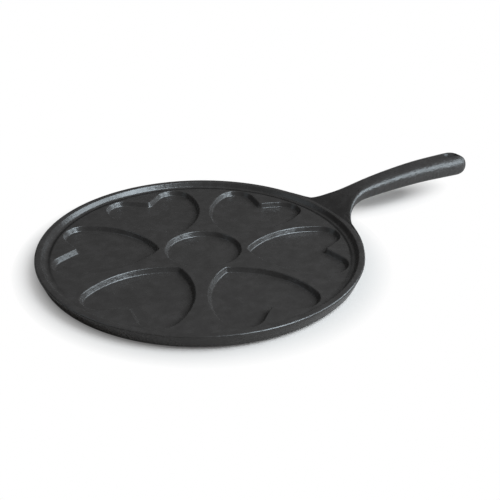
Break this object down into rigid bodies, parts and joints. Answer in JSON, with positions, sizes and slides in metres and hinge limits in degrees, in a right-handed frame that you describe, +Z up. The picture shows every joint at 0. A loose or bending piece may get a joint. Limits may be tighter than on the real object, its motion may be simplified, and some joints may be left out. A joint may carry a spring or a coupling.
{
  "type": "cast iron pan",
  "caption": "Round cast iron pancake pan with heart recesses around a round one, a low rim and a rising handle with a long hang hole.",
  "frame": {"origin": "centre of the flat disc that the pan stands on", "axes": "+X along the handle, from the pan's centre to the handle's tip; +Z up, out of the recesses"},
  "size_m": [0.3896, 0.2402, 0.0349],
  "materials": {
    "seasoned_iron": "seasoned black cast iron, matt and finely grained"
  },
  "bodies": {
    "root": {"base_disc": "seasoned_iron", "mould_plate": "seasoned_iron", "rim": "seasoned_iron", "handle_root": "seasoned_iron", "handle_grip": "seasoned_iron"}
  },
  "joints": []
}
